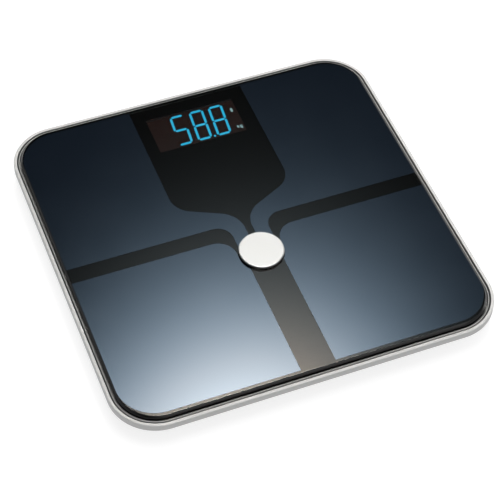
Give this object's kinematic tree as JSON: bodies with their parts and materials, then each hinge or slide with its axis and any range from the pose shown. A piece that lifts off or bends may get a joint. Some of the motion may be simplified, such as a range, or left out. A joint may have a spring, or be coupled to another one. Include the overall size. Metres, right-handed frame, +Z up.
{
  "type": "digital bathroom scale",
  "caption": "Square glass-topped digital bathroom scale with conductive electrode fields, a metal rim, a round metal badge and a lit digit display; stands on load-cell feet.",
  "frame": {"origin": "on the floor under the middle of the platform, level with the underside of the foot pads", "axes": "+Z up, +Y towards the edge with the display, +X to the right of a person who faces the display"},
  "size_m": [0.3116, 0.3116, 0.029],
  "materials": {
    "tempered_glass": "clear tempered float glass, bevelled edges",
    "electrode_film": "blue-grey conductive oxide film, mirror smooth",
    "black_ink": "black ink fired on the underside of the glass",
    "smoked_filter": "smoked red-brown filter",
    "satin_badge_steel": "satin face, polished edge",
    "pressed_bezel_steel": "satin, pressed",
    "brushed_rim_steel": "satin, brushed along the edge",
    "black_rubber": "matt moulded rubber",
    "grey_silicone": "matt moulded silicone",
    "foam_tape": "closed-cell foam",
    "zinc_screw_steel": "bright zinc plate",
    "black_abs": "fine spark texture",
    "grey_button": "moulded, satin",
    "display_housing": "dark moulded housing",
    "lit_segments": "lit diffuser windows",
    "circuit_board": "green solder mask",
    "chip_epoxy": "moulded epoxy",
    "shield_can": "tinned sheet",
    "white_nylon": "moulded nylon",
    "load_cell_steel": "nickel-plated spring steel",
    "white_sealant": "silicone sealant",
    "battery_can": "printed sleeve on a metal can",
    "nickel_contact": "nickel-plated sheet",
    "lead_jacket": "pale vinyl jacket",
    "red_lead_jacket": "red vinyl jacket",
    "copper_foil": "copper foil"
  },
  "bodies": {
    "scale_body": {"back_print": "black_ink", "badge_adhesive": "foam_tape", "base_tray": "black_abs", "battery_cell_1": "battery_can", "battery_cell_2": "battery_can", "battery_cell_3": "battery_can", "battery_cell_4": "battery_can", "battery_leads": "red_lead_jacket", "battery_minus_contacts": "nickel_contact", "battery_plus_contacts": "nickel_contact", "bezel_ring": "pressed_bezel_steel", "board_chips": "chip_epoxy", "board_connectors": "white_nylon", "board_screws": "zinc_screw_steel", "centre_badge": "satin_badge_steel", "clamp_screws": "zinc_screw_steel", "display_filter": "smoked_filter", "display_module": "display_housing", "display_segments": "lit_segments", "electrode_film_front_left": "electrode_film", "electrode_film_front_right": "electrode_film", "electrode_film_rear_left": "electrode_film", "electrode_film_rear_right": "electrode_film", "electrode_leads": "lead_jacket", "electrode_tabs": "copper_foil", "foot_cup_front_left": "black_abs", "foot_cup_front_right": "black_abs", "foot_cup_rear_left": "black_abs", "foot_cup_rear_right": "black_abs", "foot_pad_front_left": "black_rubber", "foot_pad_front_right": "black_rubber", "foot_pad_rear_left": "black_rubber", "foot_pad_rear_right": "black_rubber", "foot_screw_front_left": "zinc_screw_steel", "foot_screw_front_right": "zinc_screw_steel", "foot_screw_rear_left": "zinc_screw_steel", "foot_screw_rear_right": "zinc_screw_steel", "frame_screws": "zinc_screw_steel", "glass_plate": "tempered_glass", "glass_support_pads": "foam_tape", "glass_tape": "foam_tape", "load_cell_clamp_front_left": "black_abs", "load_cell_clamp_front_right": "black_abs", "load_cell_clamp_rear_left": "black_abs", "load_cell_clamp_rear_right": "black_abs", "load_cell_front_left": "load_cell_steel", "load_cell_front_right": "load_cell_steel", "load_cell_leads": "lead_jacket", "load_cell_rear_left": "load_cell_steel", "load_cell_rear_right": "load_cell_steel", "main_board": "circuit_board", "rim_band": "brushed_rim_steel", "rim_seal": "grey_silicone", "strain_gauges": "white_sealant", "unit_switch": "chip_epoxy", "wireless_module": "shield_can"},
    "battery_door": {"battery_door": "black_abs"},
    "unit_button": {"unit_button": "grey_button", "switch_plunger": "grey_button"}
  },
  "joints": [
    {"name": "battery_door_hinge", "type": "hinge", "parent": "scale_body", "child": "battery_door", "pos_m": [0, -0.0441, 0.0065], "axis": [-1, 0, 0], "range_deg": [0, 80]},
    {"name": "unit_button_press", "type": "slide", "parent": "scale_body", "child": "unit_button", "axis": [0, 0, 1], "range_m": [0, 0.0008], "stiffness_N_per_m": 1500}
  ]
}
